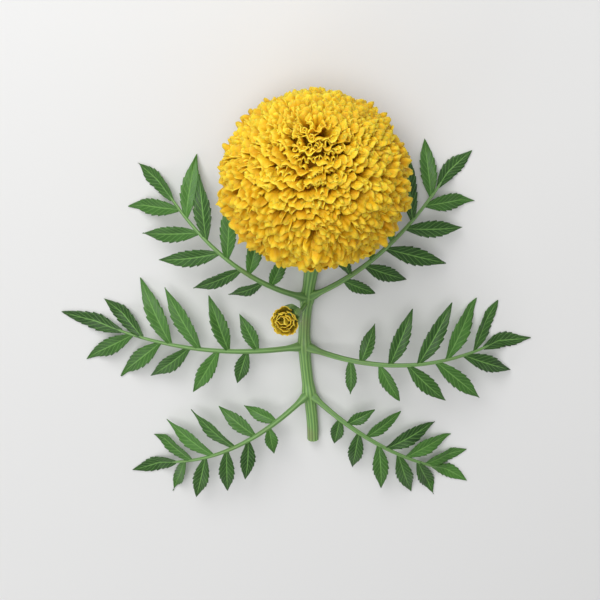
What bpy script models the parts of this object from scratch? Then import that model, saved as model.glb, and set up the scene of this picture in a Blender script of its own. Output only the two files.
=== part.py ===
"""A picked African marigold lying on a surface: one double bloom, its green cup, the stem, leaves and a bud.

Metres, +Z up, and the surface is z = 0. The bloom faces -Y and looks a little up, and the stem runs off
to +Y. The origin is under the middle of the whole flower's box.
"""

import math
import random
from collections import namedtuple

import bmesh
import bpy
from mathutils import Matrix, Vector

MM = 0.001
GOLDEN_ANGLE = math.pi * (3 - math.sqrt(5))
GAP = 0.3 * MM  # between two pieces that touch on the real plant
UP = Vector((0, 0, 1))

# The bloom, in its own frame: +Z is its axis, out of its face, and z = 0 is its widest level.
BLOOM_RADIUS = 38 * MM
BLOOM_CROWN = 34 * MM  # from the widest level to the top of the dome
BLOOM_BACK = 25 * MM  # from the widest level to the backs of the lowest petals
BLOOM_TILT = math.radians(30)  # how far the face looks above the horizon
BLOOM_AT = Vector((-5.2 * MM, -67.1 * MM, 34.2 * MM))  # its centre, just low enough to press the lowest petals flat
CORE_SHARE = 0.79  # the dense heart that the petals stand out of, as a share of the bloom's size
PETALS = 132
PETAL_THICKNESS = 0.8 * MM
PETAL_WIDTH = 1.08  # of the room each petal has on the dome: over 1, neighbours overlap
PETAL_CROWDING = 1.25  # over 1 packs the petals closer towards the middle
OUTERMOST_POLAR = math.radians(113)  # from the bloom's axis to the last petals of the dome
BACK_PETALS = 20  # the long lowest petals, which radiate from the cup

# The green cup under the bloom, in the bloom's frame.
PLUG_RADIUS = 8 * MM  # the foot of the bloom, which sits in the cup's rim
PLUG_END = -26 * MM
CUP_RIM = -20.6 * MM  # the tips of its teeth
CUP_END = -41 * MM
CUP_WALL = 1.2 * MM
CUP_BELLY = 10.4 * MM
CUP_RIBS = 9

# The stem, by the distance from the cup's end along it.
STEM_LENGTH = 106 * MM
STEM_TOP_RADIUS = 4.7 * MM
STEM_RADIUS = 2.7 * MM
STEM_SIDES = 10
STEM_SWAY = math.radians(7)
LEAF_NODES = (33 * MM, 57 * MM, 81 * MM)  # where the pairs of leaves leave it
NODE_SWELLING = 0.7 * MM

# The leaves.
LEAFLET_LENGTH = 31 * MM
LEAFLET_HALF_WIDTH = 3.7 * MM
LEAFLET_DROOP = 0.20  # how far a leaflet's tip hangs, as a share of its length
LEAF_THICKNESS = 0.7 * MM
RACHIS_RADIUS = 1.15 * MM
LONGEST_REACH = 90 * MM  # of a leaf, whose leaflets are then of full length
LEAF_TIP_HEIGHT = 2 * MM

# The side bud.
BUD_RADIUS = 5.0 * MM
BUD_LENGTH = 11 * MM
BUD_STALK_RADIUS = 1.2 * MM
BUD_STALK_LENGTH = 20 * MM
BUD_LEAN = Vector((0.30, -0.16, 1)).normalized()

BLOOM_FRAME = Matrix.Translation(BLOOM_AT) @ Matrix.Rotation(math.pi / 2 - BLOOM_TILT, 4, "X")


def clear_scene():
    for obj in list(bpy.data.objects):
        bpy.data.objects.remove(obj, do_unlink=True)


def material(name, colour, roughness):
    made = bpy.data.materials.new(name)
    made.use_nodes = True
    shader = made.node_tree.nodes["Principled BSDF"]
    shader.inputs["Base Color"].default_value = (*colour, 1)
    shader.inputs["Roughness"].default_value = roughness
    shader.inputs["Metallic"].default_value = 0
    return made


def mesh_object(name, points, faces):
    mesh = bpy.data.meshes.new(name)
    mesh.from_pydata([tuple(p) for p in points], [], faces)
    obj = bpy.data.objects.new(name, mesh)
    bpy.context.scene.collection.objects.link(obj)
    return obj


def blade(name, rows, normals, thickness):
    """A closed thin solid round the middle surface rows[i][j], split into triangles alike on both faces."""
    along, across = len(rows), len(rows[0])
    points = []
    for side in (0.5, -0.5):
        for row, row_normals in zip(rows, normals):
            points += [p + n * thickness * side for p, n in zip(row, row_normals)]
    lower = along * across
    faces = []
    for i in range(along - 1):
        for j in range(across - 1):
            a = i * across + j
            b, c, d = a + 1, a + across + 1, a + across
            faces += [(a, c, b), (a, d, c)]
            faces += [(a + lower, b + lower, c + lower), (a + lower, c + lower, d + lower)]
    outline = list(range(across))
    outline += [(i + 1) * across - 1 for i in range(1, along)]
    outline += [(along - 1) * across + j for j in range(across - 2, -1, -1)]
    outline += [i * across for i in range(along - 2, 0, -1)]
    for a, b in zip(outline, outline[1:] + outline[:1]):
        faces += [(a, b, a + lower), (b, b + lower, a + lower)]
    return mesh_object(name, points, faces)


def tube(name, centres, radii, sides):
    """A closed tube through centres, with flat ends."""
    points, faces = [], []
    for i, centre in enumerate(centres):
        ahead = centres[min(i + 1, len(centres) - 1)] - centres[max(i - 1, 0)]
        turn = ahead.to_track_quat("Z", "Y")
        for k in range(sides):
            angle = math.tau * (k + 0.5) / sides
            points.append(centre + turn @ Vector((math.cos(angle), math.sin(angle), 0)) * radii[i])
    for i in range(len(centres) - 1):
        for k in range(sides):
            a, b = i * sides + k, i * sides + (k + 1) % sides
            faces.append((a, b, b + sides, a + sides))
    faces.append(tuple(reversed(range(sides))))
    faces.append(tuple(range((len(centres) - 1) * sides, len(centres) * sides)))
    return mesh_object(name, points, faces)


def lathe(name, profile, sides, radius_at=None):
    """A closed turned solid from (radius, height) pairs, top to bottom, both ends on flat faces."""
    points, faces = [], []
    for level, (radius, height) in enumerate(profile):
        for k in range(sides):
            r, z = radius_at(level, k, radius, height) if radius_at else (radius, height)
            angle = math.tau * k / sides
            points.append(Vector((r * math.cos(angle), r * math.sin(angle), z)))
    for level in range(len(profile) - 1):
        for k in range(sides):
            a, b = level * sides + k, level * sides + (k + 1) % sides
            faces.append((b, a, a + sides, b + sides))
    faces.append(tuple(range(sides)))
    faces.append(tuple(reversed(range((len(profile) - 1) * sides, len(profile) * sides))))
    return mesh_object(name, points, faces)


def evaluated_mesh(obj):
    bpy.context.view_layer.update()
    graph = bpy.context.evaluated_depsgraph_get()
    return bpy.data.meshes.new_from_object(obj.evaluated_get(graph))


def apply_boolean(obj, operation, solver, other=None, collection=None):
    modifier = obj.modifiers.new(operation.title(), "BOOLEAN")
    modifier.operation = operation
    modifier.solver = solver
    if collection:
        modifier.operand_type = "COLLECTION"
        modifier.collection = collection
    else:
        modifier.object = other
    mesh = evaluated_mesh(obj)
    obj.modifiers.clear()
    keep_outer_skin(mesh)
    obj.data = mesh


def fuse(trunk, pieces, solver):
    """Joins the pieces to the trunk in one union, and removes them."""
    repeats = bpy.data.collections.new(trunk.name + "_repeats")
    bpy.context.scene.collection.children.link(repeats)
    for piece in pieces:
        bpy.context.scene.collection.objects.unlink(piece)
        repeats.objects.link(piece)
    apply_boolean(trunk, "UNION", solver, collection=repeats)
    for piece in pieces:
        bpy.data.objects.remove(piece, do_unlink=True)
    bpy.data.collections.remove(repeats)


def keep_outer_skin(mesh):
    """Drops the small skins that a union leaves: those of sealed hollows, which fills them, and of loose scraps."""
    work = bmesh.new()
    work.from_mesh(mesh)
    waiting = set(work.faces)
    skins = []
    while waiting:
        skin, edge_of_skin = set(), [waiting.pop()]
        while edge_of_skin:
            face = edge_of_skin.pop()
            skin.add(face)
            near = {other for edge in face.edges for other in edge.link_faces} & waiting
            waiting -= near
            edge_of_skin += near
        skins.append(skin)
    skins.sort(key=len)
    for skin in skins[:-1]:
        bmesh.ops.delete(work, geom=list(skin), context="FACES")
    work.to_mesh(mesh)
    work.free()


def finish_object(obj, name, finish):
    obj.name = name
    obj.data.name = name
    obj.data.materials.clear()
    obj.data.materials.append(finish)
    return obj


# The bloom ------------------------------------------------------------------------------------------------


def dome(polar, azimuth, share):
    """A point of the bloom's rounded outline, drawn in to a share of its size."""
    height = BLOOM_CROWN if polar < math.pi / 2 else BLOOM_BACK
    ring = BLOOM_RADIUS * math.sin(polar)
    return Vector((ring * math.cos(azimuth), ring * math.sin(azimuth), height * math.cos(polar))) * share


def dome_normal(polar, azimuth):
    height = BLOOM_CROWN if polar < math.pi / 2 else BLOOM_BACK
    ring = math.sin(polar) / BLOOM_RADIUS
    return Vector((ring * math.cos(azimuth), ring * math.sin(azimuth), math.cos(polar) / height)).normalized()


# Along a petal: how far outward of its own place, in widths; share of the dome's size; half width, in widths;
# and how much of the tip's wave it has.
BROAD_STATIONS = ((-0.42, 0.74, 0.30, 0), (-0.08, 0.90, 0.46, 0.4), (0.36, 0.985, 0.50, 1))
SMALL_STATIONS = ((-0.30, 0.74, 0.32, 0), (0.34, 0.985, 0.50, 1))
# How far the tip's edge stands out across it, in widths: a channel, and a wave on the broad outer petals.
TIP_CHANNEL = (0.17, -0.04, 0.13)
TIP_WAVE = (0.15, -0.03, 0.09, -0.04, 0.16)
FIRST_BROAD_PETAL = 78
FIRST_WAVED_PETAL = 105


def dome_petal(index, draw):
    """One petal of the dome: it rises from the heart, leans outward and ends in a waved edge."""
    place = (index + 0.5) / PETALS
    reach = 1 - math.cos(OUTERMOST_POLAR)
    polar = math.acos(1 - reach * place**PETAL_CROWDING)
    azimuth = index * GOLDEN_ANGLE + draw.uniform(-0.05, 0.05)
    room = math.tau * BLOOM_RADIUS**2 * reach * PETAL_CROWDING * place ** (PETAL_CROWDING - 1) / PETALS
    width = PETAL_WIDTH * math.sqrt(room) * draw.uniform(0.93, 1.07)
    beside = Vector((-math.sin(azimuth), math.cos(azimuth), 0))
    tip_height = draw.uniform(-0.02, 0.01)
    lifts = (TIP_WAVE if index >= FIRST_WAVED_PETAL else TIP_CHANNEL)[:: draw.choice((1, -1))]
    rows, normals = [], []
    stations = BROAD_STATIONS if index >= FIRST_BROAD_PETAL else SMALL_STATIONS
    for outward, share, half, wave in stations:
        row, row_normals = [], []
        for j, lift in enumerate(lifts):
            across = 2 * j / (len(lifts) - 1) - 1
            set_back = 0.16 * across**2 * wave
            angle = max(0.02, polar + (outward - set_back) * width / BLOOM_RADIUS)
            outwards = dome_normal(angle, azimuth)
            point = dome(angle, azimuth, share + tip_height * wave)
            row.append(point + beside * across * half * width + outwards * lift * width * wave)
            row_normals.append(outwards)
        rows.append(row)
        normals.append(row_normals)
    return blade("petal", rows, normals, PETAL_THICKNESS)


def back_petal(index, draw):
    """One of the long lowest petals: out from the cup along the bloom's back, up to its widest level."""
    azimuth = math.tau * (index + draw.uniform(-0.12, 0.12)) / BACK_PETALS
    out = Vector((math.cos(azimuth), math.sin(azimuth), 0))
    beside = Vector((-math.sin(azimuth), math.cos(azimuth), 0))
    tip = 36.6 * MM + draw.uniform(-0.8, 0.8) * MM
    # radius, height, half width, and how far its two edges hang below its middle
    stations = (
        (8.6 * MM, -17.8 * MM, 1.4 * MM, 0),
        (24 * MM, -19.0 * MM, 3.6 * MM, 0.6 * MM),
        (tip, -7.6 * MM, 5.0 * MM, 1.5 * MM),
    )
    rows, normals = [], []
    for radius, height, half, hang in stations:
        slope = Vector((-out.x * 0.35, -out.y * 0.35, 1)).normalized()
        middle = out * radius + UP * height
        row = [middle + beside * half * k - UP * hang * abs(k) for k in (-1, 0, 1)]
        row[0] -= out * abs(hang)
        row[2] -= out * abs(hang)
        rows.append(row)
        normals.append([slope] * 3)
    return blade("back_petal", rows, normals, PETAL_THICKNESS)


def bloom(finish):
    """All the yellow petals, fused to the dense heart that they grow from, cut flat where the bloom rests."""
    draw = random.Random(7)
    steps = 5
    profile = []
    for step in range(1, steps + 1):
        polar = math.pi / 2 * step / steps
        profile.append((BLOOM_RADIUS * CORE_SHARE * math.sin(polar), BLOOM_CROWN * CORE_SHARE * math.cos(polar)))
    profile += [
        (29 * MM, -7 * MM),
        (24 * MM, -14 * MM),
        (10.6 * MM, -19.6 * MM),
        (PLUG_RADIUS, -20 * MM),
        (PLUG_RADIUS, PLUG_END),
    ]
    heart = lathe("bloom", profile, 16)
    pieces = [dome_petal(i, draw) for i in range(PETALS)]
    pieces += [back_petal(i, draw) for i in range(BACK_PETALS)]
    fuse(heart, pieces, "MANIFOLD")
    heart.data.transform(BLOOM_FRAME)
    surface = slab("surface", 60 * MM, 20 * MM)
    apply_boolean(heart, "DIFFERENCE", "MANIFOLD", other=surface)
    bpy.data.objects.remove(surface, do_unlink=True)
    return finish_object(heart, "bloom", finish)


def slab(name, half, depth):
    """A block under z = 0, below the bloom."""
    square = ((-1, -1), (1, -1), (1, 1), (-1, 1))
    corners = [Vector((BLOOM_AT.x + x * half, BLOOM_AT.y + y * half, z)) for z in (-depth, 0) for x, y in square]
    faces = [(3, 2, 1, 0), (4, 5, 6, 7)]
    faces += [(k, (k + 1) % 4, (k + 1) % 4 + 4, k + 4) for k in range(4)]
    return mesh_object(name, corners, faces)


# The cup --------------------------------------------------------------------------------------------------


def cup(finish):
    """The green cup of joined scales: ribbed, toothed at its rim, narrowing to the top of the stem."""
    sides = CUP_RIBS * 4
    inner = PLUG_RADIUS + GAP
    floor = PLUG_END - GAP
    profile = [
        (inner * 0.5, floor),
        (inner, floor),
        (inner, CUP_RIM),
        (inner + CUP_WALL, CUP_RIM),
        (CUP_BELLY, -26 * MM),
        (CUP_BELLY * 0.97, -31 * MM),
        (CUP_BELLY * 0.76, -36 * MM),
        (STEM_TOP_RADIUS * 1.05, CUP_END),
    ]
    rim_levels, ribbed_levels = (2, 3), (4, 5, 6)

    def shaped(level, k, radius, height):
        crest = 0.5 + 0.5 * math.cos(math.tau * k * CUP_RIBS / sides)
        if level in rim_levels:
            height -= 3.2 * MM * (1 - crest)
        if level in ribbed_levels:
            radius *= 0.95 + 0.07 * crest
        return radius, height

    made = lathe("cup", profile, sides, shaped)
    made.data.transform(BLOOM_FRAME)
    return finish_object(made, "cup", finish)


# The stem -------------------------------------------------------------------------------------------------


def stem_centre(distance):
    """A point of the stem's middle line: it bends down from the cup to the surface, then lies along it."""
    start = BLOOM_FRAME @ Vector((0, 0, CUP_END - GAP))
    bend = (start.z - STEM_RADIUS) / (1 - math.cos(BLOOM_TILT))
    turned = min(distance / bend, BLOOM_TILT)
    run = bend * (math.sin(BLOOM_TILT) - math.sin(BLOOM_TILT - turned))
    drop = bend * (math.cos(BLOOM_TILT - turned) - math.cos(BLOOM_TILT))
    run += max(0, distance - bend * BLOOM_TILT)
    sway = STEM_SWAY * STEM_LENGTH / math.tau * (1 - math.cos(math.tau * distance / STEM_LENGTH))
    return Vector((start.x + sway, start.y + run, start.z - drop))


def stem_radius(distance):
    """Swollen under the cup, slender below, with a small swelling where each pair of leaves grows."""
    swelling = (STEM_TOP_RADIUS - STEM_RADIUS) * math.exp(-((distance / (17 * MM)) ** 2))
    nodes = sum(math.exp(-(((distance - node) / (3 * MM)) ** 2)) for node in LEAF_NODES)
    return STEM_RADIUS + swelling + NODE_SWELLING * nodes


def stem_tube(name, grown):
    """The stem, or with all its radii grown, a cutter for what is seated on it."""
    stops = [0, 2, 8, 16, 23, 30, 33, 36, 43, 50, 54, 57, 60, 67, 74, 78, 81, 84, 91, 99]
    distances = [stop * MM for stop in stops] + [STEM_LENGTH]
    radii = [stem_radius(d) + grown for d in distances]
    centres = [stem_centre(d) for d in distances]
    for centre, radius in zip(centres, radii):
        centre.z = max(centre.z, radius - grown)
    return tube(name, centres, radii, STEM_SIDES)


# The leaves -----------------------------------------------------------------------------------------------


def on_surface(point):
    """Lifts a point of a blade's middle surface so that the blade lies on the surface, not in it."""
    return Vector((point.x, point.y, max(point.z, LEAF_THICKNESS / 2)))


# Along a leaflet: distance in lengths, half width in half widths. The pairs of stops close together are teeth.
LEAFLET_STATIONS = ((-0.02, 0.25), (0.21, 0.84), (0.44, 1.06), (0.5, 0.82), (0.73, 0.74), (0.78, 0.48), (1, 0.05))


def leaflet(root, direction, normal, length):
    """One toothed leaflet: a thin blade that droops towards its tip."""
    across = normal.cross(direction).normalized()
    rows = []
    for along, wide in LEAFLET_STATIONS:
        middle = root + direction * length * along - UP * LEAFLET_DROOP * length * max(along, 0) ** 2
        half = LEAFLET_HALF_WIDTH * wide * (0.55 + 0.45 * length / LEAFLET_LENGTH)
        rows.append([on_surface(middle - across * half), on_surface(middle + across * half)])
    return blade("leaflet", rows, [[UP, UP]] * len(rows), LEAF_THICKNESS)


def rachis(placing):
    """The middle line of a leaf's rib and its direction, as functions: up from the stem, over, and down."""
    start = stem_centre(LEAF_NODES[placing.node])
    heading = placing.side * math.radians(placing.heading)
    away = Vector((math.sin(heading), -math.cos(heading), 0))
    beside = Vector((-away.y, away.x, 0)) * placing.side
    middle = start + away * 0.5 * placing.reach + UP * placing.arch + beside * placing.bow
    tip = start + away * placing.reach
    tip.z = LEAF_TIP_HEIGHT

    def at(q):
        return start * (1 - q) ** 2 + middle * 2 * q * (1 - q) + tip * q**2

    def towards(q):
        return ((middle - start) * (1 - q) + (tip - middle) * q).normalized()

    return at, towards


# How long the leaflets of a leaf are, from the stem outwards, and how far each stands off the rib.
LEAFLET_SHARES = (0.58, 0.80, 0.95, 1.0, 0.88)
LEAFLET_ANGLES = (68, 62, 56, 50, 42)


def leaf(placing, finish, stem_cutter):
    """A feathered leaf: a slim rib with five pairs of toothed leaflets and one at its tip."""
    at, towards = rachis(placing)
    full_length = LEAFLET_LENGTH * placing.reach / LONGEST_REACH

    def seated(q, clearance):
        point = at(q)
        point.z = max(point.z, clearance)
        return point

    stops = (0, 0.14, 0.28, 0.42, 0.56, 0.70, 0.83, 0.93)
    radii = [RACHIS_RADIUS * (1.25 - 0.75 * q) for q in stops]
    centres = [seated(q, radius) for q, radius in zip(stops, radii)]
    rib = tube(placing.name, centres, radii, 5)
    pieces = []
    for pair, (share, angle) in enumerate(zip(LEAFLET_SHARES, LEAFLET_ANGLES)):
        q = 0.26 + 0.145 * pair
        forward = towards(q)
        beside = Matrix.Rotation(math.radians(placing.roll), 3, forward) @ UP.cross(forward).normalized()
        turn = math.radians(angle)
        for hand in (1, -1):
            root = seated(q + 0.02 * hand, LEAF_THICKNESS)
            direction = forward * math.cos(turn) + beside * hand * math.sin(turn)
            pieces.append(leaflet(root, direction, forward.cross(beside), full_length * share))
    forward = towards(0.92)
    normal = forward.cross(UP.cross(forward).normalized())
    pieces.append(leaflet(seated(0.92, LEAF_THICKNESS), forward, normal, full_length * 0.95))
    fuse(rib, pieces, "MANIFOLD")
    apply_boolean(rib, "DIFFERENCE", "MANIFOLD", other=stem_cutter)
    return finish_object(rib, placing.name, finish)


# A leaf's stem node, its side of the stem (1 is +X), heading in degrees from the bloom's direction, the
# height of its arch's handle, reach along the surface, sideways bow, and roll in degrees.
Placing = namedtuple("Placing", "name node side heading arch reach bow roll")
LEAVES = (
    Placing("leaf_1", 0, 1, 50, 34 * MM, 82 * MM, 6 * MM, -6),
    Placing("leaf_2", 0, -1, 46, 24 * MM, 84 * MM, 6 * MM, 5),
    Placing("leaf_3", 1, 1, 84, 18 * MM, 90 * MM, 5 * MM, 4),
    Placing("leaf_4", 1, -1, 89, 32 * MM, 88 * MM, 6 * MM, -5),
    Placing("leaf_5", 2, 1, 119, 26 * MM, 78 * MM, 5 * MM, 6),
    Placing("leaf_6", 2, -1, 123, 16 * MM, 76 * MM, 4 * MM, 0),
)


# The side bud ---------------------------------------------------------------------------------------------


def bud_root():
    """Where the side bud's stalk leaves the stem, just above its first pair of leaves."""
    return stem_centre(LEAF_NODES[0] + 2 * MM)


def on_stalk(obj):
    """Moves a piece made round +Z on to the end of the bud's stalk."""
    turn = BUD_LEAN.to_track_quat("Z", "Y").to_matrix().to_4x4()
    obj.data.transform(Matrix.Translation(bud_root() + BUD_LEAN * BUD_STALK_LENGTH) @ turn)


def bud_green(finish, stem_cutter):
    """The bud's stalk and its own small ribbed cup, which are one growth."""
    shares = (0, 0.25, 0.55, 0.8, 1)
    bow = Vector((0, 2 * MM, 0))
    centres = [bud_root() + BUD_LEAN * BUD_STALK_LENGTH * q + bow * math.sin(math.pi * q) for q in shares]
    radii = [BUD_STALK_RADIUS * k for k in (1.2, 1.0, 1.0, 1.25, 1.9)]
    stalk = tube("bud_cup", centres, radii, 8)
    ribs = 7
    profile = [
        (BUD_RADIUS * 0.30, BUD_LENGTH * 0.72),
        (BUD_RADIUS * 0.84, BUD_LENGTH * 0.72),
        (BUD_RADIUS * 0.86, BUD_LENGTH * 0.98),
        (BUD_RADIUS * 1.0, BUD_LENGTH * 0.92),
        (BUD_RADIUS * 1.04, BUD_LENGTH * 0.5),
        (BUD_RADIUS * 0.80, BUD_LENGTH * 0.18),
        (BUD_RADIUS * 0.36, BUD_LENGTH * -0.1),
    ]
    rim_levels, ribbed_levels = (2, 3), (4, 5)

    def shaped(level, k, radius, height):
        if level in rim_levels:
            height -= 1.6 * MM * (k % 2)
        if level in ribbed_levels:
            radius *= 1 - 0.06 * (k % 2)
        return radius, height

    shell = lathe("bud_shell", profile, ribs * 2, shaped)
    on_stalk(shell)
    fuse(stalk, [shell], "MANIFOLD")
    apply_boolean(stalk, "DIFFERENCE", "MANIFOLD", other=stem_cutter)
    return finish_object(stalk, "bud_cup", finish)


def bud_petals(finish):
    """The bud's first petals, still folded into a tight dome above the cup."""
    inside = BUD_RADIUS * 0.84 - GAP
    profile = [
        (inside * 0.30, BUD_LENGTH * 1.22),
        (inside * 0.68, BUD_LENGTH * 1.14),
        (inside * 0.92, BUD_LENGTH * 1.02),
        (inside, BUD_LENGTH * 0.9),
        (inside, BUD_LENGTH * 0.72 + GAP),
    ]
    heart = lathe("bud_petals", profile, 14)
    pieces = []
    folded = 9
    for k in range(folded):
        azimuth = math.tau * k / folded
        out = Vector((math.cos(azimuth), math.sin(azimuth), 0))
        beside = Vector((-out.y, out.x, 0))
        inner = k % 2
        rows = []
        for radius, height, half in (
            (0.52 - 0.2 * inner, 1.36 + 0.08 * inner, 0.26),
            (0.90 - 0.2 * inner, 1.12 + 0.06 * inner, 0.42),
            (0.62, 0.86, 0.34),
        ):
            middle = out * inside * radius + UP * BUD_LENGTH * height
            rows.append([middle + beside * inside * half * j for j in (-1, 1)])
        pieces.append(blade("folded_petal", rows, [[out, out]] * len(rows), LEAF_THICKNESS))
    fuse(heart, pieces, "MANIFOLD")
    on_stalk(heart)
    return finish_object(heart, "bud_petals", finish)


def main():
    clear_scene()
    yellow = material("petal_yellow", (0.80, 0.42, 0.02), 0.6)
    cup_green = material("cup_green", (0.16, 0.27, 0.07), 0.5)
    stem_green = material("stem_green", (0.17, 0.29, 0.08), 0.5)
    leaf_green = material("leaf_green", (0.09, 0.22, 0.05), 0.5)
    bloom(yellow)
    cup(cup_green)
    finish_object(stem_tube("stem", 0), "stem", stem_green)
    stem_cutter = stem_tube("stem_cutter", GAP)
    for placing in LEAVES:
        leaf(placing, leaf_green, stem_cutter)
    bud_green(cup_green, stem_cutter)
    bud_petals(yellow)
    bpy.data.objects.remove(stem_cutter, do_unlink=True)


main()
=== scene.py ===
# %% [markdown]
# # A picked African marigold
#
# An African marigold (*Tagetes erecta*) is a ball of ruffled yellow petals in a ribbed green cup, on a leafy
# stem. Here it lies on a pale surface, as picked, with one side bud. The solids that hold its sizes are
# loaded first. Each step below then makes one thing that grows: a few petals and leaflets are modelled one
# by one, and Geometry Nodes repeat them by the rules that the plant follows.

# %% Load the frame
import math
import random

import bpy
from mathutils import Matrix, Vector


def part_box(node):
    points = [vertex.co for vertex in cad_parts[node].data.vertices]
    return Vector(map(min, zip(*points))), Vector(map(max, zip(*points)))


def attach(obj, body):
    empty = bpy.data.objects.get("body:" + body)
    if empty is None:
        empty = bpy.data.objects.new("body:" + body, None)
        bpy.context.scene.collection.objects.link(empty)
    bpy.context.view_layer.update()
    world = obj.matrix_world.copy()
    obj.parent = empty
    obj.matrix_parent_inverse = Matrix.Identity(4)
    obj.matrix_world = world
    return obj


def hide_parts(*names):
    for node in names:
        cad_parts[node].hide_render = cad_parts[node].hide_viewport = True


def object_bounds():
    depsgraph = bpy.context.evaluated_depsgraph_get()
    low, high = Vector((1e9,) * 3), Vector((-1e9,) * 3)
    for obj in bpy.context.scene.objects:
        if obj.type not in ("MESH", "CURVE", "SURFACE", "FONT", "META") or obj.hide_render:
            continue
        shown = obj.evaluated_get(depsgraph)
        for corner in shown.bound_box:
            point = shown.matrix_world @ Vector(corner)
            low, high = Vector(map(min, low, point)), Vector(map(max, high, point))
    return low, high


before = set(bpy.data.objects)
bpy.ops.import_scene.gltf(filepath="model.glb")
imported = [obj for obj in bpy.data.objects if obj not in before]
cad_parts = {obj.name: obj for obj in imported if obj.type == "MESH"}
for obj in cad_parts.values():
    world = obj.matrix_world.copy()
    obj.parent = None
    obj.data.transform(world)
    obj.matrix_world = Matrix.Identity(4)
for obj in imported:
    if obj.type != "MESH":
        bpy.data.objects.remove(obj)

MM = 0.001
UP = Vector((0, 0, 1))
GOLDEN_ANGLE = math.pi * (3 - math.sqrt(5))
scene = bpy.context.scene
cad_low, cad_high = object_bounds()
print("the solids measure", [round(side / MM) for side in cad_high - cad_low], "mm")

# %% [markdown]
# ## Small tools
#
# Node trees are long to write out, so one function adds a node, sets it up and wires its inputs. A node keeps
# hidden sockets for the types that it isn't set to, so a socket is looked up among those in use. Colours are
# easiest to pick as the hex values that a screen shows, and Blender wants linear light, so another function
# turns one into the other. A third starts a finish: what is the same all over a surface is set on the shader
# itself, and only what varies over it gets nodes.

# %% Nodes and colours
MATH, VECTOR_MATH = "ShaderNodeMath", "ShaderNodeVectorMath"
COMBINE, SEPARATE = "ShaderNodeCombineXYZ", "ShaderNodeSeparateXYZ"
MIX, MAP_RANGE, NOISE = "ShaderNodeMix", "ShaderNodeMapRange", "ShaderNodeTexNoise"
CHANCE, EULER_TURN = "FunctionNodeRandomValue", "FunctionNodeEulerToRotation"
MOVE, STORE = "GeometryNodeSetPosition", "GeometryNodeStoreNamedAttribute"


def in_use(sockets, name):
    """A node's socket, by its name or its place among the sockets in use."""
    shown = [socket for socket in sockets if socket.enabled]
    return shown[name] if isinstance(name, int) else next(s for s in shown if s.name == name)


def add(tree, kind, inputs=(), **settings):
    """Adds a node with its settings. Its inputs, in order or by name, are nodes, outputs or values."""
    made = tree.nodes.new(kind)
    for setting, value in settings.items():
        setattr(made, setting, value)
    for name, source in (inputs if isinstance(inputs, dict) else dict(enumerate(inputs))).items():
        if isinstance(source, bpy.types.Node):
            source = in_use(source.outputs, 0)
        if isinstance(source, bpy.types.NodeSocket):
            tree.links.new(source, in_use(made.inputs, name))
        else:
            in_use(made.inputs, name).default_value = source
    return made


def linear(hex_colour):
    """A screen colour such as "#E8B020" as linear red, green, blue and alpha."""
    channels = [int(hex_colour[k : k + 2], 16) / 255 for k in (1, 3, 5)]
    return (*[c / 12.92 if c < 0.04045 else ((c + 0.055) / 1.055) ** 2.4 for c in channels], 1)


def new_finish(name, settings):
    """A material with these values on its shader. Gives the material, its tree and its shader."""
    made = bpy.data.materials.new(name)
    made.use_nodes = True
    shader = made.node_tree.nodes["Principled BSDF"]
    for label, value in settings.items():
        shader.inputs[label].default_value = value
    return made, made.node_tree, shader


print("marigold yellow in linear light:", [round(c, 3) for c in linear("#E8B020")])

# %% [markdown]
# A Geometry Nodes tree is a recipe. These make an empty one with named inputs, and run one on nothing at all,
# because every tree below makes its own points. What comes out is turned into a plain mesh at once, so no
# piece carries its tree along.

# %% Make and run a tree


def in_scene(name, data):
    """An object with this data, in the scene."""
    made = bpy.data.objects.new(name, data)
    scene.collection.objects.link(made)
    return made


def new_recipe(name, inputs):
    """An empty tree with these inputs, {name: (socket type, default)}, and the outputs that give them."""
    tree = bpy.data.node_groups.new(name, "GeometryNodeTree")
    for label, (kind, default) in inputs.items():
        socket = tree.interface.new_socket(label, in_out="INPUT", socket_type="NodeSocket" + kind)
        if default is not None:
            socket.default_value = default
    tree.interface.new_socket("Geometry", in_out="OUTPUT", socket_type="NodeSocketGeometry")
    return tree, add(tree, "NodeGroupInput").outputs


def grow(name, tree, **values):
    """Runs a tree with these inputs and gives what it makes as an object with a plain mesh."""
    host = in_scene(name + "_host", bpy.data.meshes.new(name + "_host"))
    modifier = host.modifiers.new("Recipe", "NODES")
    modifier.node_group = tree
    for item in tree.interface.items_tree:
        key = item.name.replace(" ", "_").lower()
        if item.in_out == "INPUT" and key in values:
            modifier[item.identifier] = values.pop(key)
    if values:
        raise KeyError(f"{tree.name} has no input for {sorted(values)}")
    graph = bpy.context.evaluated_depsgraph_get()
    mesh = bpy.data.meshes.new_from_object(host.evaluated_get(graph))
    mesh.name = name
    bpy.data.objects.remove(host, do_unlink=True)
    print(f"{name}: {len(mesh.polygons)} faces")
    return in_scene(name, mesh)


# %% [markdown]
# Petals and leaflets are sheets with no thickness until they are placed, when Solidify gives each its two
# faces and its edge. A piece is then set on the body root, and the solids that it stands for are hidden.

# %% Sheets and finished pieces


def mark(mesh, label, values):
    """Gives each point of a mesh a named value, which a tree or a finish can read."""
    mesh.attributes.new(label, "FLOAT", "POINT").data.foreach_set("value", values)


def sheet_object(name, rows, marks):
    """A sheet through rows of points. marks gives each point's place across and along it, from 0 to 1."""
    width = len(rows[0])
    faces = []
    for i in range(len(rows) - 1):
        for j in range(width - 1):
            a = i * width + j
            faces.append((a, a + 1, a + width + 1, a + width))
    mesh = bpy.data.meshes.new(name)
    mesh.from_pydata([point for row in rows for point in row], [], faces)
    flat_marks = [place for row in marks for place in row]
    mesh.uv_layers.new(name="UVMap")
    for loop, uv in zip(mesh.loops, mesh.uv_layers["UVMap"].data):
        uv.uv = flat_marks[loop.vertex_index]
    mark(mesh, "along", [along for _, along in flat_marks])
    return bpy.data.objects.new(name, mesh)


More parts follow.
